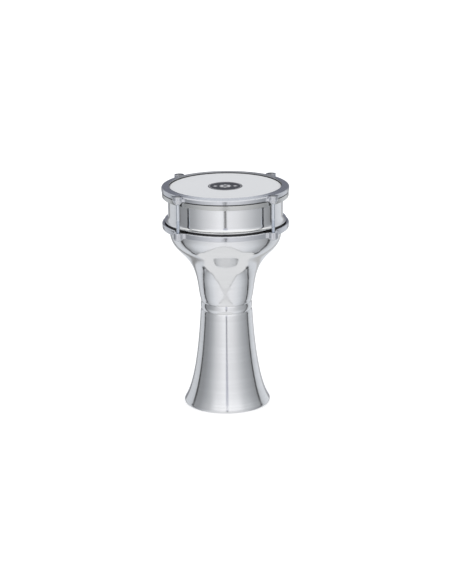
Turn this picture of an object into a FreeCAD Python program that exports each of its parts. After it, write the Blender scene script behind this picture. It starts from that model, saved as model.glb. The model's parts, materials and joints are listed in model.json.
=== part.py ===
import FreeCAD, Part
import math
import os
import Sketcher
from FreeCAD import Vector

# Tunable aluminium darbuka (goblet drum), in millimetres.
# +Z is up, the origin is the centre of the foot rim's bottom plane, and +Y points to the back.
# Every turned piece is one closed outline of radius and height, revolved about Z.

DIMENSIONS = {
    # trumpet foot, outer curve from the rim to the neck (Bezier poles) and the wall's inner curve
    "foot_rim_r": 59.95,
    "foot_rim_inner_r": 54.9,
    "foot_rim_height": 4.0,
    "foot_rim_round": 2.7,
    "foot_rim_chamfer": 0.55,
    "foot_top_z": 136.6,
    "foot_shoulder_z": 132.4,
    "foot_shoulder_r": 36.25,
    "foot_knee_r": 58.6,
    "foot_knee_z": 8.4,
    "foot_flare_r": 48.9,
    "foot_flare_z": 17.6,
    "foot_waist_r": 40.5,
    "foot_waist_z": 60.3,
    "foot_inner_rim_r": 55.2,
    "foot_inner_rim_z": 5.6,
    "foot_inner_flare_r": 47.7,
    "foot_inner_flare_z": 21.6,
    "foot_inner_waist_r": 39.2,
    "foot_inner_waist_z": 61.6,
    "foot_bore_z": 120.0,
    # neck: convex band between two grooves, over an inner sleeve
    "groove_r": 34.9,
    "band_r": 36.0,
    "band_low_z": 136.8,
    "band_high_z": 147.8,
    "shoulder_round": 7.5,
    "sleeve_r": 33.3,
    "sleeve_wall": 2.0,
    "sleeve_low_z": 122.0,
    "sleeve_high_z": 162.0,
    "press_gap": 0.02,
    # bowl, outer curve from the neck to the lip (Bezier poles) and the wall's inner curve
    "bowl_low_z": 148.0,
    "bowl_shoulder_z": 151.5,
    "bowl_shoulder_r": 35.9,
    "bowl_neck_r": 42.8,
    "bowl_neck_z": 174.3,
    "bowl_hollow_r": 33.8,
    "bowl_hollow_z": 220.3,
    "bowl_belly_r": 75.65,
    "bowl_belly_z": 222.4,
    "bowl_side_r": 77.55,
    "bowl_side_z": 224.2,
    "bowl_top_r": 78.87,
    "bowl_bore_z": 164.0,
    "bowl_inner_neck_r": 45.5,
    "bowl_inner_neck_z": 181.7,
    "bowl_inner_hollow_r": 28.1,
    "bowl_inner_hollow_z": 214.2,
    "bowl_inner_belly_r": 73.2,
    "bowl_inner_belly_z": 224.2,
    "bowl_inner_side_r": 79.2,
    "bowl_inner_side_z": 230.8,
    "spigot_inner_r": 74.7,
    "spigot_high_z": 275.0,
    # collar with the flared lip under it and the rolled bearing edge on top
    "collar_r": 79.4,
    "collar_wall": 2.4,
    "lip_low_z": 264.6,
    "lip_r": 84.2,
    "lip_edge_round": 0.6,
    "lip_flare_round": 7.3,
    "lip_flare_z": 272.4,
    "bearing_round": 4.5,
    "bearing_top_z": 310.7,
    # head: film, flesh hoop channel, resin and badge
    "film_gap": 0.05,
    "film_thickness": 0.25,
    "film_skirt_z": 304.2,
    "film_slant_r": 82.6,
    "film_slant_z": 302.9,
    "film_edge_z": 300.6,
    "flesh_inner_r": 80.4,
    "flesh_outer_r": 87.3,
    "flesh_low_z": 298.0,
    "flesh_high_z": 304.4,
    "flesh_wall": 1.8,
    "flesh_inner_wall_high_z": 302.6,
    "flesh_round": 0.8,
    "resin_high_z": 302.2,
    "badge_r": 23.7,
    "badge_thickness": 0.15,
    # counter hoop
    "hoop_outer_r": 88.0,
    "hoop_inner_r": 77.6,
    "hoop_top_z": 313.4,
    "hoop_slope_drop": 1.6,
    "hoop_low_z": 305.9,
    "hoop_land_z": 304.45,
    "hoop_land_inner_r": 80.4,
    "hoop_land_outer_r": 86.0,
    "hoop_lip_z": 311.7,
    "hoop_throat_z": 308.8,
    "hoop_round": 0.6,
    "hoop_corner": 0.63,
    "hoop_shoulder": 1.5,
    "hoop_shoulder_round": 1.8,
    "relief_r": 87.65,
    # lug ring
    "ring_inner_r": 79.9,
    "ring_outer_r": 87.5,
    "ring_low_z": 254.3,
    "ring_edge_z": 262.1,
    "ring_seat_r": 81.6,
    "ring_round": 1.0,
    "ring_shoulder": 2.0,
    "ring_shoulder_round": 2.3,
    # ears and bolts
    "ear_count": 4,
    "bolt_circle_r": 91.0,
    "ear_r": 7.0,
    "ear_flank_r": 5.0,
    "ear_root_depth": 4.0,
    "hoop_ear_low_z": 302.0,
    "hoop_ear_high_z": 310.5,
    "hoop_boss_high_z": 312.6,
    "hoop_web_high_z": 310.2,
    "lug_ear_low_z": 251.8,
    "lug_ear_high_z": 262.4,
    "lug_web_low_z": 254.9,
    "ear_foot_r": 3.7,
    "hoop_ear_rise": 6.4,
    "hoop_ear_round": 12.0,
    "lug_ear_rise": 3.3,
    "lug_ear_round": 3.3,
    "ear_high_round": 0.5,
    "bolt_r": 2.5,
    "bolt_hole_r": 2.6,
    "thread_hole_r": 2.56,
    "spot_face_r": 5.1,
    "bolt_length": 60.0,
    "bolt_tip_chamfer": 0.6,
    "bolt_head_r": 4.75,
    "bolt_head_height": 2.75,
    "bolt_head_rim": 0.5,
    "bolt_head_flat_r": 2.6,
    "bolt_head_dome": 4.2,
    "socket_across_flats": 3.0,
    "socket_depth": 1.5,
}

HALF_TURN = 180.0
EAR_ANGLE = 45.0
BOLT_ANGLES = {"back_right": 45.0, "back_left": 135.0, "front_left": 225.0, "front_right": 315.0}


class Size:
    """A length that knows both its number and its spreadsheet expression."""

    def __init__(self, text, value):
        self.text = text
        self.value = value

    def joined(self, other, sign, value):
        return Size("(%s %s %s)" % (self.text, sign, other.text), value)

    def __add__(self, other):
        other = as_size(other)
        return self.joined(other, "+", self.value + other.value)

    def __sub__(self, other):
        other = as_size(other)
        return self.joined(other, "-", self.value - other.value)

    def __mul__(self, other):
        other = as_size(other)
        return self.joined(other, "*", self.value * other.value)

    def __truediv__(self, other):
        other = as_size(other)
        return self.joined(other, "/", self.value / other.value)

    def __neg__(self):
        return Size("(0 - %s)" % self.text, -self.value)

    def root(self):
        return Size("sqrt(%s)" % self.text, math.sqrt(self.value))


def as_size(number):
    if isinstance(number, Size):
        return number
    return Size(repr(float(number)), float(number))


class Sizes:
    """Reads like an object: d.collar_r is the sheet's collar_r cell."""

    def __init__(self, dimensions):
        for alias, value in dimensions.items():
            setattr(self, alias, Size("sizes." + alias, float(value)))


def make_sheet(document, dimensions):
    sheet = document.addObject("Spreadsheet::Sheet", "sizes")
    for row, (alias, value) in enumerate(dimensions.items(), start=1):
        sheet.set("A%d" % row, alias)
        sheet.set("B%d" % row, str(value))
        sheet.setAlias("B%d" % row, alias)
    document.recompute()


doc = FreeCAD.newDocument("darbuka")
make_sheet(doc, DIMENSIONS)
d = Sizes(DIMENSIONS)


# ---- outlines ----

def to(r, z):
    """A straight side to the point (r, z)."""
    return ("line", as_size(r), as_size(z), None)


def arc(r, z, radius):
    """A round side to (r, z); a positive radius turns left on the way, a negative one right."""
    return ("arc", as_size(r), as_size(z), as_size(radius))


def curve(r, z, *poles):
    """A smooth side to (r, z), a Bezier curve with these poles between its ends."""
    return ("curve", as_size(r), as_size(z), [(as_size(a), as_size(b)) for a, b in poles])


def arc_middle(start, end, radius):
    """The middle point of the minor arc from start to end."""
    chord = end - start
    half = chord.Length / 2
    sagitta = abs(radius) - math.sqrt(radius ** 2 - half ** 2)
    right = Vector(chord.y, -chord.x, 0).normalize()
    return (start + end) * 0.5 + right * math.copysign(sagitta, radius)


def pin(sketch, geometry, position, name, axis, size):
    """Ties one coordinate of a point to its expression."""
    kind = "Distance" + axis
    near, far = (-1, 1), (geometry, position)
    if size.value < 0:
        near, far, size = far, near, -size
    index = sketch.addConstraint(Sketcher.Constraint(kind, *near, *far, size.value))
    sketch.renameConstraint(index, name)
    sketch.setExpression("Constraints." + name, size.text)


def pin_point(sketch, geometry, position, name, r, z):
    pin(sketch, geometry, position, name + "_along", "X", r)
    pin(sketch, geometry, position, name + "_up", "Y", z)


def pin_radius(sketch, geometry, name, radius):
    index = sketch.addConstraint(Sketcher.Constraint("Radius", geometry, radius.value))
    sketch.renameConstraint(index, name)
    sketch.setExpression("Constraints." + name, radius.text)


def draw_outline(sketch, sides):
    """Draws a closed outline. Its first point is where the last side ends."""
    start = Vector(sides[-1][1].value, sides[-1][2].value, 0)
    lines = []
    for number, (kind, r, z, shape) in enumerate(sides):
        end = Vector(r.value, z.value, 0)
        name = "side%d" % number
        if kind == "line":
            lines.append(sketch.addGeometry(Part.LineSegment(start, end), False))
        elif kind == "arc":
            middle = arc_middle(start, end, shape.value)
            lines.append(sketch.addGeometry(Part.Arc(start, middle, end), False))
        else:
            lines.append(draw_curve(sketch, name, start, end, shape))
        start = end
    for number, side in enumerate(sides):
        kind, r, z, shape = side
        line = lines[number]
        following = lines[(number + 1) % len(lines)]
        finish = end_at(sketch, line, side)
        begin = end_at(sketch, following, side)
        sketch.addConstraint(Sketcher.Constraint("Coincident", line, finish, following, begin))
        pin_point(sketch, line, finish, "point%d" % number, r, z)
        if kind == "arc":
            pin_radius(sketch, line, "radius%d" % number, shape if shape.value > 0 else -shape)


def end_at(sketch, geometry, side):
    """Which end of the geometry, 1 or 2, lies at the side's end point."""
    target = Vector(side[1].value, side[2].value, 0)
    first = sketch.getPoint(geometry, 1).distanceToPoint(target)
    second = sketch.getPoint(geometry, 2).distanceToPoint(target)
    return 1 if first < second else 2


def draw_curve(sketch, name, start, end, poles):
    between = [Vector(r.value, z.value, 0) for r, z in poles]
    degree = len(between) + 1
    bezier = Part.BSplineCurve()
    bezier.buildFromPolesMultsKnots([start] + between + [end], [degree + 1] * 2, [0, 1], False, degree)
    line = sketch.addGeometry(bezier, False)
    sketch.exposeInternalGeometry(line)
    for number, (r, z) in enumerate(poles):
        pole = line + 2 + number
        pin_point(sketch, pole, 3, "%s_pole%d" % (name, number), r, z)
    return line


def make_body(label):
    body = doc.addObject("PartDesign::Body", label)
    body.Label = label
    return body


def make_sketch(body, name, plane, height=None, reach=None):
    """A sketch on one of the body's own planes, lifted to a height or moved out along X if asked."""
    sketch = body.newObject("Sketcher::SketchObject", body.Name + "_" + name)
    origin_plane = [item for item in body.Origin.OriginFeatures if item.Role == plane][0]
    sketch.AttachmentSupport = (origin_plane, [""])
    sketch.MapMode = "FlatFace"
    if height is not None:
        sketch.setExpression("AttachmentOffset.Base.z", height.text)
    if reach is not None:
        sketch.setExpression("AttachmentOffset.Base.x", reach.text)
    doc.recompute()
    return sketch


def origin_axis(body, role):
    return [item for item in body.Origin.OriginFeatures if item.Role == role][0]


def turned(body, name, sides, feature="PartDesign::Revolution", reach=None):
    """Revolves an outline a full turn about the upright line through its sketch's origin."""
    sketch = make_sketch(body, name + "_outline", "XZ_Plane", reach=reach)
    draw_outline(sketch, sides)
    turn = body.newObject(feature, body.Name + "_" + name)
    turn.Profile = sketch
    turn.ReferenceAxis = (sketch, ["V_Axis"])
    turn.Angle = 2 * HALF_TURN
    doc.recompute()
    return turn


def turned_piece(label, sides):
    body = make_body(label)
    turned(body, "turned", sides)
    return body


def bind(item, name, size):
    item.setExpression(name, size.text)


def four_times(body, name, features):
    pattern = body.newObject("PartDesign::PolarPattern", body.Name + "_" + name)
    pattern.Originals = features
    pattern.Axis = (origin_axis(body, "Z_Axis"), [""])
    pattern.Angle = 2 * HALF_TURN
    bind(pattern, "Occurrences", d.ear_count)
    body.Tip = pattern
    doc.recompute()
    return pattern


# ---- shell, foot and neck ----

def make_foot_shell():
    """Trumpet foot: a rounded rim that stands flat, a flare, and a bored neck for the sleeve."""
    bore = d.sleeve_r + d.press_gap
    rim_flat_outer = d.foot_rim_r - d.foot_rim_round
    return turned_piece("foot_shell", [
        to(rim_flat_outer, 0),
        arc(d.foot_rim_r, d.foot_rim_round, d.foot_rim_round),
        to(d.foot_rim_r, d.foot_rim_height),
        curve(d.foot_shoulder_r, d.foot_shoulder_z,
              (d.foot_knee_r, d.foot_knee_z), (d.foot_flare_r, d.foot_flare_z),
              (d.foot_waist_r, d.foot_waist_z)),
        arc(d.groove_r, d.foot_top_z, d.shoulder_round),
        to(bore, d.foot_top_z),
        to(bore, d.foot_bore_z),
        curve(d.foot_inner_rim_r, d.foot_inner_rim_z,
              (d.foot_inner_waist_r, d.foot_inner_waist_z), (d.foot_inner_flare_r, d.foot_inner_flare_z)),
        to(d.foot_rim_inner_r, d.foot_rim_round),
        to(d.foot_rim_inner_r + d.foot_rim_chamfer, 0),
    ])


def make_neck_band():
    """Barrel-shaped ring between the foot and the bowl, round the sleeve."""
    bore = d.sleeve_r + d.press_gap
    half = (d.band_high_z - d.band_low_z) / 2
    bulge = d.band_r - d.groove_r
    barrel = (half * half + bulge * bulge) / (bulge * 2)
    return turned_piece("neck_band", [
        to(d.groove_r, d.band_low_z),
        arc(d.groove_r, d.band_high_z, barrel),
        to(bore, d.band_high_z),
        to(bore, d.band_low_z),
    ])


def make_neck_sleeve():
    """Inner tube that the foot, the band and the bowl are pressed on."""
    inner = d.sleeve_r - d.sleeve_wall
    return turned_piece("neck_sleeve", [
        to(d.sleeve_r, d.sleeve_low_z),
        to(d.sleeve_r, d.sleeve_high_z),
        to(inner, d.sleeve_high_z),
        to(inner, d.sleeve_low_z),
    ])


def make_bowl_shell():
    """Bowl from the neck up; its top is a shoulder and a spigot that the collar is pressed on."""
    bore = d.sleeve_r + d.press_gap
    spigot_r = d.collar_r - d.collar_wall - d.press_gap
    return turned_piece("bowl_shell", [
        to(d.groove_r, d.bowl_low_z),
        arc(d.bowl_shoulder_r, d.bowl_shoulder_z, d.shoulder_round),
        curve(d.bowl_top_r, d.lip_low_z,
              (d.bowl_neck_r, d.bowl_neck_z), (d.bowl_hollow_r, d.bowl_hollow_z),
              (d.bowl_belly_r, d.bowl_belly_z), (d.bowl_side_r, d.bowl_side_z)),
        to(spigot_r, d.lip_low_z),
        to(spigot_r, d.spigot_high_z),
        to(d.spigot_inner_r, d.spigot_high_z),
        to(d.spigot_inner_r, d.lip_low_z),
        curve(bore, d.bowl_bore_z,
              (d.bowl_inner_side_r, d.bowl_inner_side_z), (d.bowl_inner_belly_r, d.bowl_inner_belly_z),
              (d.bowl_inner_hollow_r, d.bowl_inner_hollow_z), (d.bowl_inner_neck_r, d.bowl_inner_neck_z)),
        to(bore, d.bowl_low_z),
    ])


def make_collar_shell():
    """Straight collar: its foot is flared into the lip, its top is turned in as the bearing edge."""
    collar_inner = d.collar_r - d.collar_wall
    bearing_low = d.bearing_top_z - d.bearing_round
    bearing_r = d.collar_r - d.bearing_round
    inner_round = d.bearing_round - d.collar_wall
    lip_low_r = d.lip_r - d.lip_edge_round
    lip_high_z = d.lip_low_z + d.lip_edge_round * 2
    return turned_piece("collar_shell", [
        to(lip_low_r, d.lip_low_z),
        arc(d.lip_r, d.lip_low_z + d.lip_edge_round, d.lip_edge_round),
        arc(lip_low_r, lip_high_z, d.lip_edge_round),
        arc(d.collar_r, d.lip_flare_z, -d.lip_flare_round),
        to(d.collar_r, bearing_low),
        arc(bearing_r, d.bearing_top_z, d.bearing_round),
        to(bearing_r, d.bearing_top_z - d.collar_wall),
        arc(collar_inner, bearing_low, -inner_round),
        to(collar_inner, d.lip_low_z),
    ])


# ---- head ----

def make_head_film():
    """Film: flat over the drum, bent round the bearing edge and led out into the flesh hoop."""
    bend = d.bearing_round + d.film_gap
    centre_r = d.collar_r - d.bearing_round
    centre_z = d.bearing_top_z - d.bearing_round
    under = centre_z + bend
    skirt_r = centre_r + bend
    thick = d.film_thickness
    return turned_piece("head_film", [
        to(0, under),
        to(centre_r, under),
        arc(skirt_r, centre_z, -bend),
        to(skirt_r, d.film_skirt_z),
        to(d.film_slant_r, d.film_slant_z),
        to(d.film_slant_r, d.film_edge_z),
        to(d.film_slant_r + thick, d.film_edge_z),
        to(d.film_slant_r + thick, d.film_slant_z + thick / 2),
        to(skirt_r + thick, d.film_skirt_z + thick / 2),
        to(skirt_r + thick, centre_z),
        arc(centre_r, under + thick, bend + thick),
        to(0, under + thick),
    ])


def make_flesh_hoop():
    """Channel ring, open upward; its inner wall is shorter, so the film can pass over it."""
    inner = d.flesh_inner_r
    outer = d.flesh_outer_r
    floor = d.flesh_low_z + d.flesh_wall
    return turned_piece("flesh_hoop", [
        to(inner, d.flesh_low_z),
        to(outer - d.flesh_round, d.flesh_low_z),
        arc(outer, d.flesh_low_z + d.flesh_round, d.flesh_round),
        to(outer, d.flesh_high_z),
        to(outer - d.flesh_wall, d.flesh_high_z),
        to(outer - d.flesh_wall, floor),
        to(inner + d.flesh_wall, floor),
        to(inner + d.flesh_wall, d.flesh_inner_wall_high_z),
        to(inner, d.flesh_inner_wall_high_z),
    ])


def make_channel_resin():
    """Resin that fills the channel and holds the film's edge in a slot."""
    inner = d.flesh_inner_r + d.flesh_wall
    outer = d.flesh_outer_r - d.flesh_wall
    floor = d.flesh_low_z + d.flesh_wall
    body = turned_piece("channel_resin", [
        to(inner, floor),
        to(outer, floor),
        to(outer, d.resin_high_z),
        to(inner, d.resin_high_z),
    ])
    slot_outer = d.film_slant_r + d.film_thickness
    turned(body, "slot", [
        to(d.film_slant_r, d.film_edge_z),
        to(slot_outer, d.film_edge_z),
        to(slot_outer, d.resin_high_z + 1),
        to(d.film_slant_r, d.resin_high_z + 1),
    ], "PartDesign::Groove")
    return body


def make_head_badge():
    """Thin round disc on the middle of the film."""
    film_top = d.bearing_top_z + d.film_gap + d.film_thickness
    body = make_body("head_badge")
    sketch = make_sketch(body, "round", "XY_Plane", film_top)
    circle = sketch.addGeometry(Part.Circle(Vector(), Vector(0, 0, 1), d.badge_r.value), False)
    sketch.addConstraint(Sketcher.Constraint("Coincident", circle, 3, -1, 1))
    pin_radius(sketch, circle, "badge_radius", d.badge_r)
    pad = body.newObject("PartDesign::Pad", "head_badge_disc")
    pad.Profile = sketch
    bind(pad, "Length", d.badge_thickness)
    doc.recompute()
    return body


# ---- counter hoop and lug ring ----

def draw_flanks(sketch, ring_r):
    """Web seen from above: it leads the ring into the boss by a hollow flank on each side."""
    reach = ring_r + d.ear_flank_r
    gap = d.ear_r + d.ear_flank_r
    bolt = d.bolt_circle_r
    flank_x = (reach * reach - gap * gap + bolt * bolt) / (bolt * 2)
    flank_y = (reach * reach - flank_x * flank_x).root()
    side_x = bolt + d.ear_r * (flank_x - bolt) / gap
    side_y = d.ear_r * flank_y / gap
    root_x = ring_r * flank_x / reach
    root_y = ring_r * flank_y / reach
    draw_outline(sketch, [
        to(root_x - d.ear_root_depth, -root_y),
        to(root_x, -root_y),
        arc(side_x, -side_y, -d.ear_flank_r),
        to(side_x, side_y),
        arc(root_x, root_y, -d.ear_flank_r),
        to(root_x - d.ear_root_depth, root_y),
    ])


def add_ears(body, ring_r, boss, web, rise, low_round):
    """Four ears round the ring: a round boss that widens over its rise, and a web. Both are (low, high)."""
    sketch = make_sketch(body, "web_plan", "XY_Plane", web[0])
    draw_flanks(sketch, ring_r)
    flanks = body.newObject("PartDesign::Pad", body.Name + "_web")
    flanks.Profile = sketch
    bind(flanks, "Length", web[1] - web[0])
    doc.recompute()
    low, high = boss
    high_round = d.ear_high_round
    boss_turn = turned(body, "boss", [
        to(0, low),
        to(d.ear_foot_r, low),
        arc(d.ear_r, low + rise, low_round),
        to(d.ear_r, high - high_round),
        arc(d.ear_r - high_round, high, high_round),
        to(0, high),
    ], reach=d.bolt_circle_r)
    four_times(body, "ears", [flanks, boss_turn])


def drill_ears(body, name, hole_r, low_z, high_z):
    """One round cut on the bolt's axis in each ear, from the high level down to the low one."""
    sketch = make_sketch(body, name + "_plan", "XY_Plane", high_z)
    centre = Vector(d.bolt_circle_r.value, 0, 0)
    circle = sketch.addGeometry(Part.Circle(centre, Vector(0, 0, 1), hole_r.value), False)
    sketch.addConstraint(Sketcher.Constraint("PointOnObject", circle, 3, -1))
    pin(sketch, circle, 3, "bolt_circle", "X", d.bolt_circle_r)
    pin_radius(sketch, circle, "hole_radius", hole_r)
    hole = body.newObject("PartDesign::Pocket", body.Name + "_" + name)
    hole.Profile = sketch
    bind(hole, "Length", high_z - low_z)
    doc.recompute()
    four_times(body, name + "s", [hole])


def make_counter_hoop():
    """Cast hoop with a sloping top, a land that presses on the flesh hoop, and four spot-faced ears."""
    body = make_body("counter_hoop")
    round_off = d.hoop_round
    outer_top = d.hoop_top_z - d.hoop_slope_drop
    turned(body, "ring", [
        to(d.hoop_land_inner_r, d.hoop_land_z),
        to(d.hoop_land_outer_r, d.hoop_land_z),
        to(d.hoop_land_outer_r, d.hoop_low_z),
        to(d.hoop_outer_r - round_off, d.hoop_low_z),
        arc(d.hoop_outer_r, d.hoop_low_z + round_off, round_off),
        to(d.hoop_outer_r, outer_top - d.hoop_shoulder),
        arc(d.hoop_outer_r - d.hoop_shoulder, outer_top, d.hoop_shoulder_round),
        to(d.hoop_inner_r + round_off, d.hoop_top_z),
        arc(d.hoop_inner_r, d.hoop_top_z - round_off, d.hoop_corner),
        to(d.hoop_inner_r, d.hoop_lip_z),
        to(d.hoop_land_inner_r, d.hoop_throat_z),
    ])
    add_ears(body, d.hoop_outer_r, (d.hoop_ear_low_z, d.hoop_boss_high_z),
             (d.hoop_low_z, d.hoop_web_high_z), d.hoop_ear_rise, d.hoop_ear_round)
    turned(body, "relief", [
        to(d.hoop_inner_r, d.hoop_ear_low_z - 1),
        to(d.relief_r, d.hoop_ear_low_z - 1),
        to(d.relief_r, d.hoop_land_z),
        to(d.hoop_inner_r, d.hoop_land_z),
    ], "PartDesign::Groove")
    drill_ears(body, "spot_face", d.spot_face_r, d.hoop_ear_high_z, d.hoop_top_z)
    drill_ears(body, "hole", d.bolt_hole_r, d.hoop_ear_low_z, d.hoop_ear_high_z)
    body.Placement = FreeCAD.Placement(Vector(), FreeCAD.Rotation(Vector(0, 0, 1), EAR_ANGLE))
    return body


def make_lug_ring():
    """Cast ring caught under the lip, with four threaded ears; it bears on the lip by its inner rim."""
    body = make_body("lug_ring")
    round_off = d.ring_round
    turned(body, "ring", [
        to(d.ring_inner_r, d.ring_low_z),
        to(d.ring_outer_r - round_off, d.ring_low_z),
        arc(d.ring_outer_r, d.ring_low_z + round_off, round_off),
        to(d.ring_outer_r, d.ring_edge_z - d.ring_shoulder),
        arc(d.ring_outer_r - d.ring_shoulder, d.ring_edge_z, d.ring_shoulder_round),
        to(d.ring_seat_r, d.ring_edge_z),
        to(d.ring_seat_r, d.lip_low_z),
        to(d.ring_inner_r, d.lip_low_z),
    ])
    add_ears(body, d.ring_outer_r, (d.lug_ear_low_z, d.lug_ear_high_z),
             (d.lug_web_low_z, d.ring_edge_z), d.lug_ear_rise, d.lug_ear_round)
    drill_ears(body, "hole", d.thread_hole_r, d.lug_ear_low_z, d.lug_ear_high_z)
    body.Placement = FreeCAD.Placement(Vector(), FreeCAD.Rotation(Vector(0, 0, 1), EAR_ANGLE))
    return body


# ---- bolts ----

def place_on_bolt_circle(body, angle):
    """Stands a piece drawn round its own Z axis on the bolt circle, on top of the hoop's ear."""
    turn = math.radians(angle)
    reach = "sizes.bolt_circle_r * %r"
    body.setExpression("Placement.Base.x", reach % math.cos(turn))
    body.setExpression("Placement.Base.y", reach % math.sin(turn))
    bind(body, "Placement.Base.z", d.hoop_ear_high_z)


def make_bolt(position, angle):
    """M5 button-head bolt with a hexagon socket; its head stands on the ear, its shank hangs down."""
    body = make_body("tension_bolt_" + position)
    top = d.bolt_head_height
    tip = -d.bolt_length
    turned(body, "turned", [
        to(0, tip),
        to(d.bolt_r - d.bolt_tip_chamfer, tip),
        to(d.bolt_r, tip + d.bolt_tip_chamfer),
        to(d.bolt_r, 0),
        to(d.bolt_head_r, 0),
        to(d.bolt_head_r, d.bolt_head_rim),
        arc(d.bolt_head_flat_r, top, d.bolt_head_dome),
        to(0, top),
    ])
    sketch = make_sketch(body, "socket_plan", "XY_Plane", top)
    draw_hexagon(sketch, d.socket_across_flats)
    socket = body.newObject("PartDesign::Pocket", body.Name + "_socket")
    socket.Profile = sketch
    bind(socket, "Length", d.socket_depth)
    place_on_bolt_circle(body, angle)
    doc.recompute()
    return body


def draw_hexagon(sketch, across_flats):
    """A hexagon with two corners on the sketch's X axis."""
    sides = 6
    corner = across_flats / math.sqrt(3)
    half_width = across_flats / 2
    corners = [
        (corner, as_size(0)), (corner / 2, half_width), (-corner / 2, half_width),
        (-corner, as_size(0)), (-corner / 2, -half_width), (corner / 2, -half_width),
    ]
    draw_outline(sketch, [to(*corners[(number + 1) % sides]) for number in range(sides)])


# ---- the whole drum ----

def make_all():
    pieces = [
        make_foot_shell(),
        make_neck_band(),
        make_neck_sleeve(),
        make_bowl_shell(),
        make_collar_shell(),
        make_lug_ring(),
        make_head_film(),
        make_flesh_hoop(),
        make_channel_resin(),
        make_head_badge(),
        make_counter_hoop(),
    ]
    for position, angle in BOLT_ANGLES.items():
        pieces.append(make_bolt(position, angle))
    return pieces


def check_document(pieces):
    """Stops before anything is written if an object failed or a shape isn't sound."""
    for item in doc.Objects:
        if "Invalid" in item.State or "Error" in item.State:
            raise RuntimeError("%s failed: %s" % (item.Label, item.State))
    for piece in pieces:
        if piece.Shape.isNull() or not piece.Shape.isValid():
            raise RuntimeError("%s has no sound shape" % piece.Label)


def export(pieces):
    os.makedirs("parts", exist_ok=True)
    for piece in pieces:
        piece.Shape.exportStep(os.path.join("parts", piece.Label + ".step"))
        solids = len(piece.Shape.Solids)
        print("%s: %d solid, %.1f mm3" % (piece.Label, solids, piece.Shape.Volume))


pieces = make_all()
doc.recompute()
check_document(pieces)
export(pieces)
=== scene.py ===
import json
import math

import bmesh
import bpy
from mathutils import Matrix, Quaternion, Vector


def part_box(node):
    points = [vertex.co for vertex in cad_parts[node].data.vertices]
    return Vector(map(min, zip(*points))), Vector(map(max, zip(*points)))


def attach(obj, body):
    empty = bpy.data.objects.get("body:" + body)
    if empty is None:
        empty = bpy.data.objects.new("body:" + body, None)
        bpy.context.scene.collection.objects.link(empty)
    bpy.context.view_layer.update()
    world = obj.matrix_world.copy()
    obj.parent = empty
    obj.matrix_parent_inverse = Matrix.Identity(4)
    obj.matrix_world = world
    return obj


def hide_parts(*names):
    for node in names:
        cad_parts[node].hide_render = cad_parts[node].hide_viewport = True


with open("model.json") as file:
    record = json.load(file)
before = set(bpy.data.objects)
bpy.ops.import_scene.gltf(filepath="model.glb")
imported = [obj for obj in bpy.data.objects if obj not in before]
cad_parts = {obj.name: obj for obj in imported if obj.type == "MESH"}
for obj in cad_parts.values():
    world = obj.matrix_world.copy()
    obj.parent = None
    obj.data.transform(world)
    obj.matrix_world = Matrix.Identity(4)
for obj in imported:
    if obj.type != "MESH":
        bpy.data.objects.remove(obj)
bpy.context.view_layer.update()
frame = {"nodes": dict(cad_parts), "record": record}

# The drum's axis is Z, the camera looks along +Y, and lengths are in metres.
MM = 0.001
NODES = frame["nodes"]
BEHAVIOUR = frame["record"]["behaviour"]
BODY_OF_NODE = {node: body for body, nodes in BEHAVIOUR["bodies"].items() for node in nodes}
JOINT_OF_BODY = {joint["child"]: joint for joint in BEHAVIOUR["joints"]}


# ---- node helpers ----

# The colour sockets of a Mix node, which hides the ones for other kinds of value.
MIX_FACTOR = 0
MIX_FIRST = 6
MIX_SECOND = 7
MIX_RESULT = 2


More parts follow.
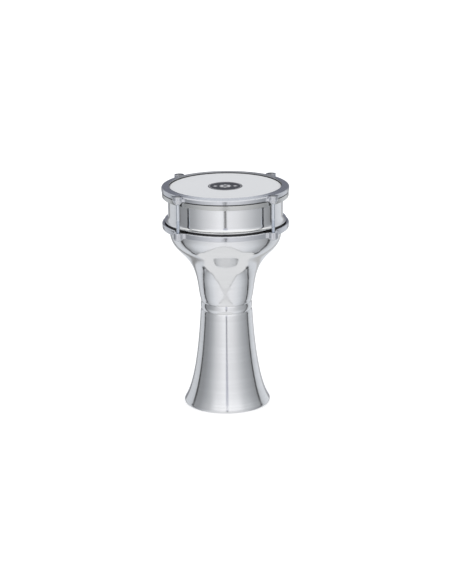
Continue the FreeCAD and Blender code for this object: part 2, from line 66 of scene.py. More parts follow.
class Graph:
    """Adds and links the nodes of one node tree."""

    def __init__(self, tree):
        self.tree = tree
        self.tree.nodes.clear()

    def add(self, kind, **values):
        node = self.tree.nodes.new(kind)
        for name, value in values.items():
            setattr(node, name, value)
        return node

    def plug(self, source, target):
        if hasattr(source, "is_output"):
            self.tree.links.new(source, target)
        else:
            target.default_value = source

    def math(self, operation, first, second=0.0, clamp=False):
        node = self.add("ShaderNodeMath", operation=operation, use_clamp=clamp)
        for socket, value in zip(node.inputs, (first, second)):
            self.plug(value, socket)
        return node.outputs[0]

    def sum(self, first, second):
        return self.math("ADD", first, second)

    def times(self, first, second):
        return self.math("MULTIPLY", first, second)

    def swing(self, value, spread):
        """A texture's value moved to vary by the spread round 0."""
        return self.times(self.math("SUBTRACT", value, 0.5), spread)

    def distance(self, first, second):
        """How far a point with these two coordinates is from the origin."""
        return self.math("SQRT", self.sum(self.times(first, first), self.times(second, second)))

    def remap(self, value, low, high, to_low=0.0, to_high=1.0, kind="SMOOTHSTEP"):
        node = self.add("ShaderNodeMapRange", interpolation_type=kind)
        for socket, given in zip(node.inputs, (value, low, high, to_low, to_high)):
            self.plug(given, socket)
        return node.outputs[0]

    def band(self, value, centre, half, soft):
        """1 within half of the centre, falling to 0 over the soft width outside it."""
        away = self.math("ABSOLUTE", self.math("SUBTRACT", value, centre))
        return self.remap(away, half, half + soft, 1.0, 0.0)

    def between(self, value, low, high, soft):
        """1 from low to high, with soft edges outside them."""
        return self.band(value, (low + high) / 2, (high - low) / 2, soft)

    def mix(self, factor, first, second, blend="MIX"):
        node = self.add("ShaderNodeMix", data_type="RGBA", blend_type=blend)
        self.plug(factor, node.inputs[MIX_FACTOR])
        self.plug(first, node.inputs[MIX_FIRST])
        self.plug(second, node.inputs[MIX_SECOND])
        return node.outputs[MIX_RESULT]

    def ramp(self, value, low, high, stops, interpolation="LINEAR"):
        """A brightness that runs through the stops, given as pairs of (value, level)."""
        node = self.add("ShaderNodeValToRGB")
        ramp = node.color_ramp
        ramp.interpolation = interpolation
        ramp.elements.remove(ramp.elements[1])
        for number, (position, level) in enumerate(stops):
            place = (position - low) / (high - low)
            element = ramp.elements[0] if number == 0 else ramp.elements.new(place)
            element.position = place
            element.color = color(level)
        self.plug(self.remap(value, low, high, kind="LINEAR"), node.inputs[0])
        return node.outputs[0]

    def noise(self, vector, scale, detail=2.0, roughness=0.5):
        node = self.add("ShaderNodeTexNoise")
        self.plug(vector, node.inputs["Vector"])
        node.inputs["Scale"].default_value = scale
        node.inputs["Detail"].default_value = detail
        node.inputs["Roughness"].default_value = roughness
        return node.outputs["Fac"]

    def vector(self, x, y, z):
        node = self.add("ShaderNodeCombineXYZ")
        for socket, value in zip(node.inputs, (x, y, z)):
            self.plug(value, socket)
        return node.outputs[0]

    def split(self, vector):
        node = self.add("ShaderNodeSeparateXYZ")
        self.plug(vector, node.inputs[0])
        return node.outputs

    def bump(self, height, depth, strength, under=None):
        """A bump of that depth in metres, on top of another one if given."""
        node = self.add("ShaderNodeBump")
        node.inputs["Strength"].default_value = strength
        node.inputs["Distance"].default_value = depth
        self.plug(height, node.inputs["Height"])
        if under is not None:
            self.plug(under, node.inputs["Normal"])
        return node.outputs[0]


def color(level, part=1.0):
    """A socket's colour from a grey level or a tint, scaled by a part of it."""
    tint = level if isinstance(level, tuple) else (level, level, level)
    return (*(channel * part for channel in tint), 1.0)


def new_material(name):
    material = bpy.data.materials.new(name)
    material.use_nodes = True
    return material, Graph(material.node_tree)


def add_shader(g, shade, gloss, normal, uniform):
    """Principled shader: nodes give colour, roughness and normal, uniform the values of other sockets."""
    bsdf = g.add("ShaderNodeBsdfPrincipled")
    g.plug(shade, bsdf.inputs["Base Color"])
    g.plug(gloss, bsdf.inputs["Roughness"])
    g.plug(normal, bsdf.inputs["Normal"])
    for name, value in uniform.items():
        bsdf.inputs[name].default_value = value
    g.plug(bsdf.outputs[0], g.add("ShaderNodeOutputMaterial").inputs[0])
    return bsdf


# ---- camera ----

PHOTO_HEIGHT = 584
FOCAL_LENGTH_IN_PIXELS = 2191.0
SENSOR = 36.0
CAMERA_DISTANCE = 3.0564
CAMERA_ELEVATION = math.radians(16.61)
CAMERA_ROLL = math.radians(-0.60)
AIM = Vector((-0.00045, 0.0, 0.1590))


def make_camera():
    data = bpy.data.cameras.new("camera")
    data.sensor_width = SENSOR
    data.lens = FOCAL_LENGTH_IN_PIXELS / PHOTO_HEIGHT * SENSOR
    data.clip_end = 100.0
    camera = bpy.data.objects.new("camera", data)
    bpy.context.scene.collection.objects.link(camera)
    away = Vector((0.0, -math.cos(CAMERA_ELEVATION), math.sin(CAMERA_ELEVATION)))
    camera.location = AIM + away * CAMERA_DISTANCE
    camera.rotation_mode = "QUATERNION"
    look = (-away).to_track_quat("-Z", "Y")
    camera.rotation_quaternion = look @ Quaternion((0.0, 0.0, 1.0), CAMERA_ROLL)
    bpy.context.scene.camera = camera


# ---- studio ----

# Brightness of the light tent by azimuth, in degrees from the camera's side, positive to the right:
# upright surfaces mirror TENT_WALL, those that face down TENT_LOW, those that face up TENT_HIGH.
TENT_WALL = [
    (-180, 0.74), (-146, 0.64), (-128, 0.66), (-112, 0.58), (-102, 0.28), (-85, 0.30), (-65, 0.41),
    (-45, 0.63), (-25, 0.80), (-12, 0.92), (10, 0.85), (25, 0.79), (45, 0.62), (65, 0.46), (85, 0.37),
    (98, 0.30), (110, 0.55), (125, 0.70), (145, 0.76), (180, 0.74),
]
TENT_LOW = [
    (-180, 0.70), (-146, 0.68), (-128, 0.72), (-112, 0.60), (-103, 0.34), (-90, 0.50), (-75, 0.67),
    (-55, 0.80), (-20, 0.89), (20, 0.86), (45, 0.80), (65, 0.68), (80, 0.53), (96, 0.38), (108, 0.50),
    (125, 0.68), (145, 0.72), (180, 0.70),
]
TENT_HIGH = [
    (-180, 0.80), (-120, 0.60), (-95, 0.30), (-60, 0.48), (-30, 0.92), (0, 1.05), (30, 0.98),
    (60, 0.62), (95, 0.40), (120, 0.60), (180, 0.80),
]
# The elevations between which one table passes into the next, and the wall into the top light.
WALL_TO_LOW = (-14, -36)
WALL_TO_HIGH = (8, 28)
WALL_TO_TOP = (36, 50)
TOP_LIGHT = 1.02

FRONT_TINT = (0.985, 0.99, 1.02)
SIDE_TINT = (0.955, 0.985, 1.035)
FRONT_TO_SIDE = (20, 80)

# The unlit back: the azimuths over which it sets in, its low and high elevations and their soft edge.
BACK_SHADE = (0.205, 0.213, 0.25)
BACK_FROM = (148, 163)
BACK_LIFTS = (-10, 27, 7)

# The gap the camera looks through: its azimuth, and how its half width and colour change with elevation.
SLIT_AZIMUTH = -0.6
SLIT_LIFTS = (-22, 32, 4)
SLIT_HALF_WIDTHS = (1.9, 3.2)
SLIT_WIDENS = (-8, 0)
SLIT_LOW = 0.16
SLIT_HIGH = (0.50, 0.51, 0.59)
SLIT_BRIGHTENS = (-10, 0)

# Dark upright seams between the tent's walls: azimuth, half width and soft edge in degrees, and level.
FRONT_SEAMS = [(-107.0, 3.0, 1.8, 0.05), (104.5, 3.0, 1.8, 0.06)]
BACK_SEAMS = [(-154.5, 2.5, 6.0, 0.27), (154.5, 2.5, 6.0, 0.50)]
SEAM_FOOT = (-60, -56)
SEAM_TOP = (30, 12)
# Low down the front seams bend away from the camera, by this many degrees between these elevations.
SEAM_BEND = 13.5
SEAM_BEND_LIFTS = (-44, -55)

# The table's plan: a direction that points down meets it at (across, ahead), in units of its drop.
TABLE_LIGHT = (0.785, 0.79, 0.80)
TABLE_CENTRE = (-0.07, 0.55)
TABLE_HALF_WIDTHS = (0.58, 0.95)
TABLE_BACK_RADIUS = 0.64
TABLE_EDGE_SOFT = 0.015
TABLE_CORNERS = [(-0.64, -0.38), (0.62, -0.32)]
TABLE_CORNER_REACH = (0.06, 0.13)
TABLE_CORNER_LEVEL = 0.02
# The rim's dark line: where it runs, its width, strength and level, and the azimuths where it ends.
RIM_REACH = 1.01
RIM_HALF_WIDTH = 0.018
RIM_STRENGTH = 0.85
RIM_LEVEL = 0.08
RIM_ENDS = (124, 116)
# Directions near and above the horizon count as dropping by this, which keeps the plan finite.
SMALLEST_DROP = 0.05


def plan_distance(g, across, ahead, centre, half_widths=(1.0, 1.0)):
    """How far a place in the table's plan is from a centre, in half widths."""
    off_x = g.times(g.sum(across, -centre[0]), 1 / half_widths[0])
    off_y = g.times(g.sum(ahead, -centre[1]), 1 / half_widths[1])
    return g.distance(off_x, off_y)


def add_walls(g, turn, lift):
    wall = g.ramp(turn, -180, 180, TENT_WALL)
    low = g.ramp(turn, -180, 180, TENT_LOW)
    high = g.ramp(turn, -180, 180, TENT_HIGH, "EASE")
    light = g.mix(g.remap(lift, *WALL_TO_LOW), wall, low)
    light = g.mix(g.remap(lift, *WALL_TO_HIGH), light, high)

    side = g.remap(g.math("ABSOLUTE", turn), *FRONT_TO_SIDE)
    tint = g.mix(side, color(FRONT_TINT), color(SIDE_TINT))
    light = g.mix(1.0, light, tint, "MULTIPLY")

    outward = g.remap(lift, *SEAM_BEND_LIFTS, 0.0, SEAM_BEND, "LINEAR")
    standing = g.times(g.remap(lift, *SEAM_FOOT), g.remap(lift, *SEAM_TOP))
    for azimuth, half, soft, level in FRONT_SEAMS:
        shifted = g.math("SUBTRACT", turn, g.times(outward, math.copysign(1, azimuth)))
        light = g.mix(g.times(g.band(shifted, azimuth, half, soft), standing), light, color(level))
    for azimuth, half, soft, level in BACK_SEAMS:
        light = g.mix(g.times(g.band(turn, azimuth, half, soft), standing), light, color(level))
    return light


def add_back_shade(g, turn, lift, light):
    behind = g.remap(g.math("ABSOLUTE", turn), *BACK_FROM)
    return g.mix(g.times(behind, g.between(lift, *BACK_LIFTS)), light, color(BACK_SHADE))


def add_camera_slit(g, turn, lift, light):
    half_width = g.remap(lift, *SLIT_WIDENS, *SLIT_HALF_WIDTHS)
    off_slit = g.math("ABSOLUTE", g.sum(turn, -SLIT_AZIMUTH))
    slit = g.remap(g.math("SUBTRACT", off_slit, half_width), 0.0, 1.0, 1.0, 0.0)
    slit = g.times(slit, g.between(lift, *SLIT_LIFTS))
    slit_light = g.mix(g.remap(lift, *SLIT_BRIGHTENS), color(SLIT_LOW), color(SLIT_HIGH))
    return g.mix(slit, light, slit_light)


def add_table(g, x, front, z, turn, light):
    """The table: long towards the camera, round behind, with a thin dark rim and two dark corners."""
    drop = g.math("MAXIMUM", g.times(z, -1.0), SMALLEST_DROP)
    across = g.math("DIVIDE", x, drop)
    ahead = g.math("DIVIDE", front, drop)
    reach = plan_distance(g, across, ahead, TABLE_CENTRE, TABLE_HALF_WIDTHS)
    back_reach = plan_distance(g, across, ahead, (0.0, 0.0), (TABLE_BACK_RADIUS, TABLE_BACK_RADIUS))
    reach = g.math("MINIMUM", reach, back_reach)
    on_table = g.remap(reach, 1 - TABLE_EDGE_SOFT, 1 + TABLE_EDGE_SOFT, 1.0, 0.0)
    light = g.mix(on_table, light, color(TABLE_LIGHT))
    rim = g.band(reach, RIM_REACH, RIM_HALF_WIDTH, RIM_HALF_WIDTH)
    rim = g.times(rim, g.remap(g.math("ABSOLUTE", turn), *RIM_ENDS))
    light = g.mix(g.times(rim, RIM_STRENGTH), light, color(RIM_LEVEL))
    for corner in TABLE_CORNERS:
        near = g.remap(plan_distance(g, across, ahead, corner), *TABLE_CORNER_REACH, 1.0, 0.0)
        light = g.mix(near, light, color(TABLE_CORNER_LEVEL))
    return light


def make_world():
    """A light tent with a slit for the camera, dark seams, a dark back and a round table under the drum."""
    world = bpy.data.worlds.new("studio")
    bpy.context.scene.world = world
    world.use_nodes = True
    g = Graph(world.node_tree)
    x, y, z = g.split(g.add("ShaderNodeTexCoord").outputs["Generated"])
    front = g.times(y, -1.0)
    turn = g.math("DEGREES", g.math("ARCTAN2", x, front))
    lift = g.math("DEGREES", g.math("ARCSINE", z))

    light = add_walls(g, turn, lift)
    light = add_back_shade(g, turn, lift, light)
    light = add_camera_slit(g, turn, lift, light)
    light = g.mix(g.remap(lift, *WALL_TO_TOP), light, color(TOP_LIGHT))
    light = add_table(g, x, front, z, turn, light)

    tent = g.add("ShaderNodeBackground")
    g.plug(light, tent.inputs["Color"])
    backdrop = g.add("ShaderNodeBackground")
    backdrop.inputs["Color"].default_value = color(1.0)
    chosen = g.add("ShaderNodeMixShader")
    g.plug(g.add("ShaderNodeLightPath").outputs["Is Camera Ray"], chosen.inputs[0])
    g.plug(tent.outputs[0], chosen.inputs[1])
    g.plug(backdrop.outputs[0], chosen.inputs[2])
    g.plug(chosen.outputs[0], g.add("ShaderNodeOutputWorld").inputs[0])


FLOOR_HALF = 12.0
FLOOR_GAP = 0.1 * MM
FLOOR_PAPER = 0.9
FLOOR_GLOW = 0.45


def make_floor():
    """White paper that glows a little, just under the foot; the shell mirrors the tent's table instead."""
    mesh = bpy.data.meshes.new("floor")
    half = FLOOR_HALF
    corners = [(-half, -half, 0), (half, -half, 0), (half, half, 0), (-half, half, 0)]
    mesh.from_pydata(corners, [], [(0, 1, 2, 3)])
    floor = bpy.data.objects.new("floor", mesh)
    bpy.context.scene.collection.objects.link(floor)
    floor.location.z = -FLOOR_GAP
    material, g = new_material("floor_paper")
    paper = g.add("ShaderNodeBsdfDiffuse")
    paper.inputs["Color"].default_value = color(FLOOR_PAPER)
    glow = g.add("ShaderNodeEmission")
    glow.inputs["Strength"].default_value = FLOOR_GLOW
    total = g.add("ShaderNodeAddShader")
    g.plug(paper.outputs[0], total.inputs[0])
    g.plug(glow.outputs[0], total.inputs[1])
    g.plug(total.outputs[0], g.add("ShaderNodeOutputMaterial").inputs[0])
    mesh.materials.append(material)
    floor.visible_glossy = False


# ---- materials ----

QUARTER_TURN = 0.25
ALUMINIUM = (0.905, 0.91, 0.915)
SLEEVE_ALUMINIUM = (0.80, 0.80, 0.81)
CHANNEL_ALUMINIUM = (0.72, 0.725, 0.71)
CAST_ALUMINIUM = (0.74, 0.752, 0.785)
FILM_COAT = (0.905, 0.91, 0.92)
RESIN = (0.50, 0.46, 0.36)
BADGE_INK = (0.035, 0.035, 0.042)
BADGE_PRINT = (0.80, 0.80, 0.81)
ZINC = (0.86, 0.88, 0.905)

# Painted shade in the gaps between the pieces: the radius they reach out to, and their low and high levels.
HOLLOW_SHADE = 0.11
HOLLOWS = [(86.3 * MM, 304.3 * MM, 306.0 * MM), (84.2 * MM, 261.9 * MM, 264.75 * MM)]
HOLLOW_EDGE = 0.3 * MM
HOLLOW_SOFT = 0.1 * MM

# A surface faces the axis when its normal and the outward direction meet at less than these cosines.
FACING_IN = (-0.15, -0.35)


def drum_coordinates(g):
    """The place on the drum as (turn about its axis in radians, radius, height)."""
    x, y, z = g.split(g.add("ShaderNodeTexCoord").outputs["Object"])
    turn = g.math("ARCTAN2", y, x)
    return turn, g.distance(x, y), z


def facing_in(g):
    """1 where the surface faces the drum's axis, 0 where it faces out."""
    surface = g.add("ShaderNodeNewGeometry")
    flat = g.add("ShaderNodeVectorMath", operation="MULTIPLY")
    g.plug(surface.outputs["Position"], flat.inputs[0])
    flat.inputs[1].default_value = (1.0, 1.0, 0.0)
    outward = g.add("ShaderNodeVectorMath", operation="NORMALIZE")
    g.plug(flat.outputs[0], outward.inputs[0])
    dot = g.add("ShaderNodeVectorMath", operation="DOT_PRODUCT")
    g.plug(outward.outputs[0], dot.inputs[0])
    g.plug(surface.outputs["Normal"], dot.inputs[1])
    return g.remap(dot.outputs["Value"], *FACING_IN)


def shade_in_gaps(g, radius, height):
    """1 in the narrow gaps that get painted shade, since no light gets in: over the flesh hoop and under the
    collar's lip.
    """
    mask = 0.0
    for reach, low, high in HOLLOWS:
        inside = g.remap(radius, reach, reach + HOLLOW_EDGE, 1.0, 0.0)
        mask = g.math("MAXIMUM", mask, g.times(inside, g.between(height, low, high, HOLLOW_SOFT)))
    return mask


def spun_metal(name, tint, roughness, anisotropy, lines, ripple, inside=0.0, banding=0.02):
    """Turned aluminium: fine tool lines round the axis, uneven gloss, hairline scratches, dull inside."""
    material, g = new_material(name)
    turn, radius, height = drum_coordinates(g)
    along = g.sum(radius, height)
    rings = g.vector(g.times(turn, 0.6), g.times(radius, 9000.0), g.times(height, 9000.0))
    fine = g.noise(rings, 0.35, 3.0, 0.6)
    broad = g.noise(rings, 0.03, 2.0, 0.5)
    position = g.add("ShaderNodeTexCoord").outputs["Object"]
    patches = g.noise(position, 22.0, 3.0, 0.55)
    scratch_field = g.noise(g.vector(g.times(turn, 14.0), g.times(along, 6000.0), 0.0), 1.0, 1.0, 0.5)
    scratches = g.remap(scratch_field, 0.80, 0.86)

    uneven = g.times(g.sum(broad, patches), 0.5)
    gloss = g.sum(roughness, g.swing(uneven, roughness * 0.6))
    gloss = g.sum(gloss, g.times(scratches, 0.08))
    shade = g.mix(g.remap(broad, 0.35, 0.65), color(tint), color(tint, 1 - banding))
    # Painted shade in the gaps between the pieces.
    shade = g.mix(shade_in_gaps(g, radius, height), shade, color(HOLLOW_SHADE))
    if inside:
        inner = facing_in(g)
        gloss = g.sum(gloss, g.times(inner, inside))
        shade = g.mix(inner, shade, color(tint, 0.80))

    wave = g.noise(g.vector(g.times(turn, 0.8), 0.0, g.times(along, 160.0)), 1.0, 1.0, 0.5)
    normal = g.bump(wave, 0.5 * MM, ripple)
    normal = g.bump(fine, 0.02 * MM, lines, normal)
    normal = g.bump(scratches, -0.01 * MM, 0.2, normal)
    bsdf = add_shader(g, shade, gloss, normal, {
        "Metallic": 1.0, "Anisotropic": anisotropy, "Anisotropic Rotation": QUARTER_TURN,
    })
    round_axis = g.add("ShaderNodeTangent", direction_type="RADIAL", axis="Z")
    g.plug(round_axis.outputs[0], bsdf.inputs["Tangent"])
    return material


def cast_metal(name, tint, roughness):
    """Cast and tumbled aluminium: soft dents, a fine grain, painted shade in the gaps and creases, and inner
    faces left rough as cast and darkened with painted shade.
    """
    material, g = new_material(name)
    _, radius, height = drum_coordinates(g)
    position = g.add("ShaderNodeTexCoord").outputs["Object"]
    dents = g.noise(position, 260.0, 2.0, 0.5)
    grain = g.noise(position, 2600.0, 3.0, 0.6)
    patches = g.noise(position, 45.0, 3.0, 0.6)
    gloss = g.sum(roughness, g.swing(patches, roughness))
    gloss = g.sum(gloss, g.swing(grain, 0.06))
    # Painted shade in the creases, where the surface folds inward.
    crease_shade = g.remap(g.add("ShaderNodeNewGeometry").outputs["Pointiness"], 0.50, 0.44)
    shade = g.mix(g.times(patches, 0.6), color(tint), color(tint, 0.88))
    shade = g.mix(g.times(crease_shade, 0.35), shade, color(tint, 0.45))
    inner = facing_in(g)
    # Faces towards the axis are rougher, as cast, and darkened with painted shade.
    gloss = g.sum(gloss, g.times(inner, 0.2))
    shade = g.mix(g.times(inner, 0.6), shade, color(tint, 0.25))
    # Painted shade in the gaps between the pieces.
    shade = g.mix(shade_in_gaps(g, radius, height), shade, color(HOLLOW_SHADE))
    normal = g.bump(dents, 0.25 * MM, 0.35)
    normal = g.bump(grain, 0.02 * MM, 0.25, normal)
    add_shader(g, shade, gloss, normal, {"Metallic": 1.0})
    return material


def plated_steel(name, tint, roughness):
    """Zinc plated bolt: drawn lines, small specks, a darker head, and painted shade on the side that faces
    the drum, which the drum mirrors.
    """
    material, g = new_material(name)
    position = g.add("ShaderNodeTexCoord").outputs["Object"]
    x, y, z = g.split(position)
    drawn = g.noise(g.vector(g.times(x, 4000.0), g.times(y, 4000.0), g.times(z, 120.0)), 1.0, 2.0, 0.6)
    cloud = g.noise(position, 180.0, 2.0, 0.5)
    specks = g.remap(g.noise(position, 1500.0, 1.0, 0.5), 0.66, 0.72)
    gloss = g.sum(roughness, g.swing(cloud, 0.14))
    gloss = g.sum(gloss, g.times(specks, 0.12))
    shade = g.mix(cloud, color(tint), color((tint[0] * 0.90, tint[1] * 0.94, tint[2])))
    head = g.remap(z, -0.3 * MM, -0.1 * MM)
    shade = g.mix(head, shade, color(tint, 0.45))
    # Painted shade on the side facing the drum, seen in the drum's mirror.
    shade = g.mix(g.times(facing_in(g), 0.85), shade, color(HOLLOW_SHADE))
    normal = g.bump(drawn, 0.01 * MM, 0.3)
    add_shader(g, shade, gloss, normal, {"Metallic": 1.0})
    return material


def coated_film(name, tint, roughness):
    """Coated drum film: a finely pebbled coat, glossier towards the rim, with painted shade in the bend
    there.
    """
    material, g = new_material(name)
    _, radius, _ = drum_coordinates(g)
    position = g.add("ShaderNodeTexCoord").outputs["Object"]
    pebble = g.noise(position, 1400.0, 3.0, 0.65)
    cloud = g.noise(position, 25.0, 3.0, 0.5)
    rim = g.remap(radius, 72.0 * MM, 76.0 * MM)
    # Painted shade where the film bends down under the hoop.
    bend_shade = g.remap(radius, 75.4 * MM, 77.0 * MM)
    gloss = g.sum(roughness, g.swing(cloud, 0.12))
    gloss = g.math("SUBTRACT", gloss, g.times(rim, 0.15))
    shade = g.mix(cloud, color(tint), color((tint[0] * 0.975, tint[1] * 0.98, tint[2] * 0.985)))
    shade = g.mix(g.times(rim, 0.6), shade, color((0.93, 0.935, 0.94)))
    shade = g.mix(g.times(bend_shade, 0.6), shade, color((0.30, 0.30, 0.32)))
    add_shader(g, shade, gloss, g.bump(pebble, 0.05 * MM, 0.35), {"IOR": 1.5})
    return material


def cured_resin(name, tint, roughness):
    """Poured resin: cloudy, with soft flow marks."""
    material, g = new_material(name)
    position = g.add("ShaderNodeTexCoord").outputs["Object"]
    cloud = g.noise(position, 60.0, 3.0, 0.6)
    flow = g.noise(position, 240.0, 2.0, 0.5)
    shade = g.mix(cloud, color(tint), color(tint, 0.8))
    gloss = g.sum(roughness, g.swing(cloud, 0.2))
    add_shader(g, shade, gloss, g.bump(flow, 0.2 * MM, 0.4), {})
    return material


# The badge's print: the star's squares and hole, the lozenges' place and reach, the ring, and two soft edges.
STAR_HALF = 6.4 * MM
STAR_HOLE_R = 3.4 * MM
LOZENGE_X = 13.6 * MM
LOZENGE_REACH = 3.5 * MM
PRINT_RING_R = 21.9 * MM
PRINT_RING_HALF = 0.35 * MM
PRINT_SOFT = 0.12 * MM
PRINT_EDGE = 0.1 * MM
BADGE_ROUGHNESS = 0.32


def within(g, reach, limit, soft):
    """1 where the reach is under the limit, with a soft edge on both sides of it."""
    return g.remap(reach, limit - soft, limit + soft, 1.0, 0.0)


def inside_square(g, x, y, half, soft):
    """1 inside an upright square round the origin."""
    return within(g, g.math("MAXIMUM", g.math("ABSOLUTE", x), g.math("ABSOLUTE", y)), half, soft)


def printed_badge(name, ink, light):
    """Printed disc: a thin light ring, an eight-pointed star of two squares, and two small lozenges."""
    material, g = new_material(name)
    position = g.add("ShaderNodeTexCoord").outputs["Object"]
    x, y, _ = g.split(position)
    radius = g.distance(x, y)
    diagonal = math.sqrt(0.5)
    turned_x = g.times(g.sum(x, y), diagonal)
    turned_y = g.times(g.math("SUBTRACT", y, x), diagonal)
    upright = inside_square(g, x, y, STAR_HALF, PRINT_SOFT)
    tilted = inside_square(g, turned_x, turned_y, STAR_HALF, PRINT_SOFT)
    star = g.math("MAXIMUM", upright, tilted)
    star = g.math("SUBTRACT", star, within(g, radius, STAR_HOLE_R, PRINT_EDGE), clamp=True)
    aside = g.math("SUBTRACT", g.math("ABSOLUTE", x), LOZENGE_X)
    lozenge_reach = g.sum(g.math("ABSOLUTE", aside), g.math("ABSOLUTE", y))
    lozenges = within(g, lozenge_reach, LOZENGE_REACH, PRINT_EDGE)
    ring = g.band(radius, PRINT_RING_R, PRINT_RING_HALF, PRINT_SOFT)
    print_mask = g.math("MAXIMUM", g.math("MAXIMUM", star, lozenges), ring)
    cloud = g.noise(position, 150.0, 3.0, 0.6)
    worn = g.remap(g.noise(position, 900.0, 2.0, 0.6), 0.70, 0.78)
    shade = g.mix(print_mask, color(ink), color(light))
    shade = g.mix(g.times(cloud, 0.25), shade, color(ink, 1.6))
    shade = g.mix(g.times(worn, 0.3), shade, color(light, 0.7))
    gloss = g.sum(BADGE_ROUGHNESS, g.swing(cloud, 0.2))
    add_shader(g, shade, gloss, g.bump(print_mask, 0.02 * MM, 0.5), {})
    return material


def give(material, *names):
    """The material for the CAD nodes of these names."""
    for name in names:
        for slot in NODES[name].material_slots:
            slot.material = material


# ---- bolts with their threads ----

BOLT_SIDES = 36
SHANK_R = 2.5 * MM
THREAD_PITCH = 0.8 * MM
THREAD_DEPTH = 0.49 * MM
THREAD_LENGTH = 30.0 * MM
TIP_CHAMFER = 0.6 * MM
HEAD_R = 4.75 * MM
HEAD_RIM = 0.5 * MM
HEAD_FLAT_R = 2.35 * MM
SOCKET_ACROSS_FLATS = 3.0 * MM
SOCKET_DEPTH = 1.5 * MM
EDGE_ROUND = 0.12 * MM
DOME_STEPS = 9
DOME_FULLNESS = 0.8
THREAD_RUNOUT = 1.5 * THREAD_PITCH
WELD_DISTANCE = 0.002 * MM
SHARP_EDGE = math.radians(35)

# One turn of the thread's outline, as (part of the pitch, part of the depth above the root).
THREAD_OUTLINE = [(0.0, 0.0), (0.12, 0.0), (0.50, 1.0), (0.62, 1.0)]


def circle(radius):
    """A circle's radius by angle."""
    return lambda angle: radius


def hexagon(across_flats):
    """A hexagon's radius by angle, with a corner at angle 0."""
    sector = math.pi / 3
    return lambda angle: across_flats / 2 / math.cos(angle % sector - sector / 2)


def add_vertex(bm, side, radius, height):
    angle = 2 * math.pi * side / BOLT_SIDES
    return bm.verts.new((radius * math.cos(angle), radius * math.sin(angle), height))


def add_ring(bm, radius_at, height):
    """One flat ring of vertices whose radius depends on the angle."""
    return [
        add_vertex(bm, side, radius_at(2 * math.pi * side / BOLT_SIDES), height)
        for side in range(BOLT_SIDES)
    ]


def join_rings(bm, upper, lower):
    for side in range(BOLT_SIDES):
        following = (side + 1) % BOLT_SIDES
        bm.faces.new((upper[side], lower[side], lower[following], upper[following]))


def head_outline(top):
    """The head from the socket's floor over the dome to the shank, as (radius by angle, height)."""
    rings = [
        (hexagon(SOCKET_ACROSS_FLATS), top - SOCKET_DEPTH),
        (hexagon(SOCKET_ACROSS_FLATS), top - 2 * EDGE_ROUND),
        (hexagon(SOCKET_ACROSS_FLATS + 2 * EDGE_ROUND), top - EDGE_ROUND / 2),
        (circle(HEAD_FLAT_R - EDGE_ROUND), top),
    ]
    drop = top - HEAD_RIM
    for step in range(DOME_STEPS + 1):
        swing = math.pi / 2 * step / DOME_STEPS
        radius = HEAD_FLAT_R + (HEAD_R - HEAD_FLAT_R) * math.sin(swing)
        rings.append((circle(radius), HEAD_RIM + drop * math.cos(swing) ** DOME_FULLNESS))
    rings += [
        (circle(HEAD_R), EDGE_ROUND),
        (circle(HEAD_R - EDGE_ROUND), 0.0),
        (circle(SHANK_R + 2 * EDGE_ROUND), 0.0),
        (circle(SHANK_R), -2 * EDGE_ROUND),
    ]
    return rings


def thread_radius(part, height, tip, start):
    """The thread's radius, led out into the shank at its start and cut by the chamfer at its tip."""
    radius = SHANK_R - THREAD_DEPTH * (1 - part)
    runout = min(1.0, max(0.0, (start - height) / THREAD_RUNOUT))
    radius = SHANK_R + (radius - SHANK_R) * runout
    return min(radius, SHANK_R - TIP_CHAMFER + (height - tip))


def add_thread(bm, top_ring, start, tip):
    """A helical grid: each row runs once round the bolt while it climbs by one pitch."""
    turns = math.ceil((start - tip) / THREAD_PITCH) + 1
    rows = []
    for turn in range(turns, -2, -1):
        for phase, part in reversed(THREAD_OUTLINE):
            rows.append((tip + (turn + phase - 1) * THREAD_PITCH, part))
    grid = []
    for base, part in rows:
        line = []
        for side in range(BOLT_SIDES + 1):
            height = min(start, max(tip, base + THREAD_PITCH * side / BOLT_SIDES))
            line.append(add_vertex(bm, side, thread_radius(part, height, tip, start), height))
        grid.append(line)
    for upper, lower in zip(grid, grid[1:]):
        for side in range(BOLT_SIDES):
            bm.faces.new((upper[side], lower[side], lower[side + 1], upper[side + 1]))
    join_rings(bm, top_ring, grid[0][:BOLT_SIDES])
    return grid[-1][:BOLT_SIDES]


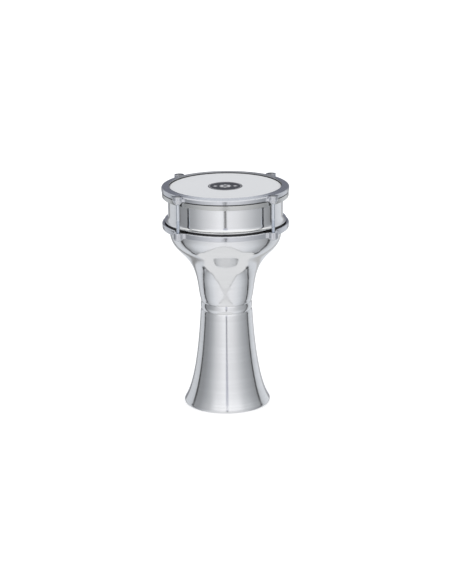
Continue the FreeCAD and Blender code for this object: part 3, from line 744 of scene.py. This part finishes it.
def bolt_mesh(length, head_height):
    """A closed mesh of the whole bolt, with z = 0 under its head."""
    bm = bmesh.new()
    rings = [add_ring(bm, radius_at, height) for radius_at, height in head_outline(head_height)]
    bm.faces.new(rings[0])
    for upper, lower in zip(rings, rings[1:]):
        join_rings(bm, upper, lower)
    start = -length + THREAD_LENGTH
    shank_end = add_ring(bm, circle(SHANK_R), start + THREAD_PITCH)
    join_rings(bm, rings[-1], shank_end)
    tip_ring = add_thread(bm, shank_end, start, -length)
    bm.faces.new(list(reversed(tip_ring)))
    bmesh.ops.remove_doubles(bm, verts=bm.verts, dist=WELD_DISTANCE)
    bmesh.ops.dissolve_degenerate(bm, edges=bm.edges, dist=WELD_DISTANCE)
    bmesh.ops.recalc_face_normals(bm, faces=bm.faces)
    for face in bm.faces:
        face.smooth = True
    mesh = bpy.data.meshes.new("tension_bolt")
    bm.to_mesh(mesh)
    bm.free()
    mesh.set_sharp_from_angle(angle=SHARP_EDGE)
    return mesh


def make_bolts(material):
    """A threaded bolt in the place of each plain CAD one."""
    for name in sorted(NODES):
        if not name.startswith("tension_bolt"):
            continue
        low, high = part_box(name)
        body = BODY_OF_NODE[name]
        seat = JOINT_OF_BODY[body]["pos_m"][2]
        mesh = bolt_mesh(seat - low[2], high[2] - seat)
        mesh.materials.append(material)
        bolt = bpy.data.objects.new(name.replace("tension_bolt", "threaded_bolt"), mesh)
        bpy.context.scene.collection.objects.link(bolt)
        bolt.location = ((low[0] + high[0]) / 2, (low[1] + high[1]) / 2, seat)
        bpy.context.view_layer.update()
        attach(bolt, body)
        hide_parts(name)


# ---- the whole scene ----

bpy.context.scene.view_settings.view_transform = "Standard"
make_camera()
make_world()
make_floor()

polished = spun_metal("polished_aluminium", ALUMINIUM, 0.13, 0.5, 0.10, 0.03, inside=0.25)
satin = spun_metal("satin_aluminium", ALUMINIUM, 0.18, 1.0, 0.30, 0.02, inside=0.20, banding=0.035)
give(polished, "bowl_shell", "collar_shell")
give(satin, "foot_shell")
give(spun_metal("band_aluminium", ALUMINIUM, 0.15, 0.5, 0.15, 0.02), "neck_band")
give(spun_metal("sleeve_aluminium", SLEEVE_ALUMINIUM, 0.35, 0.3, 0.30, 0.0), "neck_sleeve")
give(spun_metal("channel_aluminium", CHANNEL_ALUMINIUM, 0.26, 0.5, 0.25, 0.0), "flesh_hoop")
give(cast_metal("cast_aluminium", CAST_ALUMINIUM, 0.15), "counter_hoop", "lug_ring")
give(coated_film("film_coating", FILM_COAT, 0.55), "head_film")
give(cured_resin("cured_resin", RESIN, 0.40), "channel_resin")
give(printed_badge("badge_print", BADGE_INK, BADGE_PRINT), "head_badge")
make_bolts(plated_steel("zinc_steel", ZINC, 0.24))
